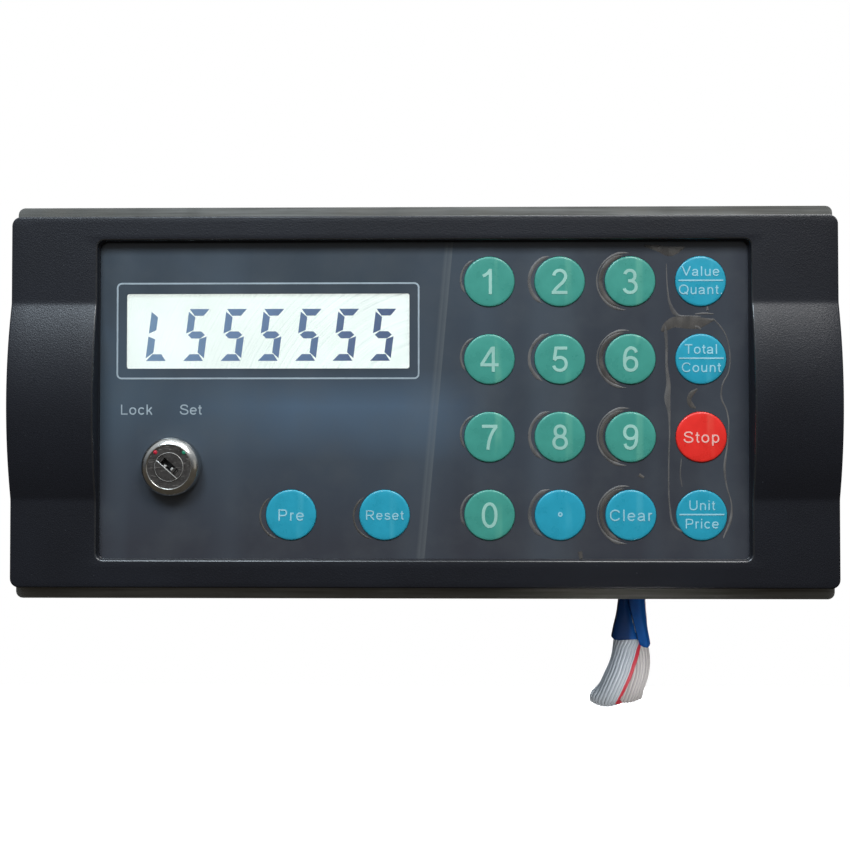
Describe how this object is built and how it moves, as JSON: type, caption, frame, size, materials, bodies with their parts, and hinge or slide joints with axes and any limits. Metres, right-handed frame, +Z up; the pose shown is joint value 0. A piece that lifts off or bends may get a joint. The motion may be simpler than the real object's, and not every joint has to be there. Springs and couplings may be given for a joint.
{
  "type": "fuel dispenser preset keypad",
  "caption": "Panel-mounted fuel dispenser preset keypad: black bezel with bulged ends, lit numeric display, round keys, key switch lock and two ribbon cables.",
  "frame": {"origin": "centre of the mounting plate's rear face, the plane that seats on the pump's panel", "axes": "+X to the right as read from the front, +Y into the panel, +Z up; the keys face -Y"},
  "size_m": [0.3, 0.0761, 0.1888],
  "materials": {
    "bezel_plastic": "fine-textured black moulded ABS",
    "overlay": "grey-blue polyester overlay film, satin",
    "clear_lens": "clear window",
    "key_green": "sea-green embossed key, white legend",
    "key_blue": "cyan-blue embossed key, white legend",
    "key_red": "red embossed key, white legend",
    "white_plastic": "natural white nylon and spacer sheet",
    "keypad_circuit": "printed polyester circuit with steel domes",
    "plate_steel": "brushed steel sheet, lightly stained",
    "cover_steel": "galvanised sheet",
    "lock_chrome": "polished chrome plating",
    "zinc_steel": "zinc-plated steel",
    "circuit_board": "green solder-masked board",
    "black_plastic": "black moulded connector plastic",
    "lcd_glass": "display glass with dark segments",
    "lcd_backlight": "white light guide",
    "rubber": "black rubber",
    "ribbon_jacket": "grey PVC ribbon, one red wire",
    "blue_tape": "blue polyester tape"
  },
  "bodies": {
    "housing": {"front_bezel": "bezel_plastic", "overlay_film": "overlay", "display_lens": "clear_lens", "key_spacer": "white_plastic", "dome_sheet": "keypad_circuit", "membrane_tail": "keypad_circuit", "tail_connector": "white_plastic", "mounting_plate": "plate_steel", "lcd_glass": "lcd_glass", "backlight_panel": "lcd_backlight", "lcd_frame": "black_plastic", "lcd_header": "black_plastic", "lock_body": "lock_chrome", "lock_nut": "zinc_steel", "key_switch": "black_plastic", "main_board": "circuit_board", "control_chip": "black_plastic", "buzzer": "black_plastic", "ribbon_socket_a": "black_plastic", "ribbon_socket_b": "black_plastic", "rear_cover": "cover_steel", "cable_grommet": "rubber", "tape_sleeve": "blue_tape", "ribbon_a_lead": "ribbon_jacket", "ribbon_a_hank": "ribbon_jacket", "ribbon_b_lead": "ribbon_jacket", "ribbon_b_hank": "ribbon_jacket", "ribbon_a_plug": "black_plastic", "ribbon_b_plug": "black_plastic", "cable_tie": "white_plastic", "board_post_1": "white_plastic", "case_screw_1": "zinc_steel", "board_post_2": "white_plastic", "case_screw_2": "zinc_steel", "board_post_3": "white_plastic", "case_screw_3": "zinc_steel", "board_post_4": "white_plastic", "case_screw_4": "zinc_steel"},
    "key_1": {"key_1": "key_green"},
    "key_2": {"key_2": "key_green"},
    "key_3": {"key_3": "key_green"},
    "key_value": {"key_value": "key_blue"},
    "key_4": {"key_4": "key_green"},
    "key_5": {"key_5": "key_green"},
    "key_6": {"key_6": "key_green"},
    "key_total": {"key_total": "key_blue"},
    "key_7": {"key_7": "key_green"},
    "key_8": {"key_8": "key_green"},
    "key_9": {"key_9": "key_green"},
    "key_stop": {"key_stop": "key_red"},
    "key_0": {"key_0": "key_green"},
    "key_dot": {"key_dot": "key_blue"},
    "key_clear": {"key_clear": "key_blue"},
    "key_price": {"key_price": "key_blue"},
    "key_preset": {"key_preset": "key_blue"},
    "key_reset": {"key_reset": "key_blue"},
    "lock_rotor": {"lock_plug": "lock_chrome", "lock_cam": "zinc_steel"}
  },
  "joints": [
    {"name": "key_1_press", "type": "slide", "parent": "housing", "child": "key_1", "axis": [0, 1, 0], "range_m": [0, 0.0006], "stiffness_N_per_m": 2500},
    {"name": "key_2_press", "type": "slide", "parent": "housing", "child": "key_2", "axis": [0, 1, 0], "range_m": [0, 0.0006], "stiffness_N_per_m": 2500},
    {"name": "key_3_press", "type": "slide", "parent": "housing", "child": "key_3", "axis": [0, 1, 0], "range_m": [0, 0.0006], "stiffness_N_per_m": 2500},
    {"name": "key_value_press", "type": "slide", "parent": "housing", "child": "key_value", "axis": [0, 1, 0], "range_m": [0, 0.0006], "stiffness_N_per_m": 2500},
    {"name": "key_4_press", "type": "slide", "parent": "housing", "child": "key_4", "axis": [0, 1, 0], "range_m": [0, 0.0006], "stiffness_N_per_m": 2500},
    {"name": "key_5_press", "type": "slide", "parent": "housing", "child": "key_5", "axis": [0, 1, 0], "range_m": [0, 0.0006], "stiffness_N_per_m": 2500},
    {"name": "key_6_press", "type": "slide", "parent": "housing", "child": "key_6", "axis": [0, 1, 0], "range_m": [0, 0.0006], "stiffness_N_per_m": 2500},
    {"name": "key_total_press", "type": "slide", "parent": "housing", "child": "key_total", "axis": [0, 1, 0], "range_m": [0, 0.0006], "stiffness_N_per_m": 2500},
    {"name": "key_7_press", "type": "slide", "parent": "housing", "child": "key_7", "axis": [0, 1, 0], "range_m": [0, 0.0006], "stiffness_N_per_m": 2500},
    {"name": "key_8_press", "type": "slide", "parent": "housing", "child": "key_8", "axis": [0, 1, 0], "range_m": [0, 0.0006], "stiffness_N_per_m": 2500},
    {"name": "key_9_press", "type": "slide", "parent": "housing", "child": "key_9", "axis": [0, 1, 0], "range_m": [0, 0.0006], "stiffness_N_per_m": 2500},
    {"name": "key_stop_press", "type": "slide", "parent": "housing", "child": "key_stop", "axis": [0, 1, 0], "range_m": [0, 0.0006], "stiffness_N_per_m": 2500},
    {"name": "key_0_press", "type": "slide", "parent": "housing", "child": "key_0", "axis": [0, 1, 0], "range_m": [0, 0.0006], "stiffness_N_per_m": 2500},
    {"name": "key_dot_press", "type": "slide", "parent": "housing", "child": "key_dot", "axis": [0, 1, 0], "range_m": [0, 0.0006], "stiffness_N_per_m": 2500},
    {"name": "key_clear_press", "type": "slide", "parent": "housing", "child": "key_clear", "axis": [0, 1, 0], "range_m": [0, 0.0006], "stiffness_N_per_m": 2500},
    {"name": "key_price_press", "type": "slide", "parent": "housing", "child": "key_price", "axis": [0, 1, 0], "range_m": [0, 0.0006], "stiffness_N_per_m": 2500},
    {"name": "key_preset_press", "type": "slide", "parent": "housing", "child": "key_preset", "axis": [0, 1, 0], "range_m": [0, 0.0006], "stiffness_N_per_m": 2500},
    {"name": "key_reset_press", "type": "slide", "parent": "housing", "child": "key_reset", "axis": [0, 1, 0], "range_m": [0, 0.0006], "stiffness_N_per_m": 2500},
    {"name": "lock_turn", "type": "hinge", "parent": "housing", "child": "lock_rotor", "pos_m": [-0.0916, 0, -0.0237], "axis": [0, 1, 0], "range_deg": [0, 90]}
  ]
}
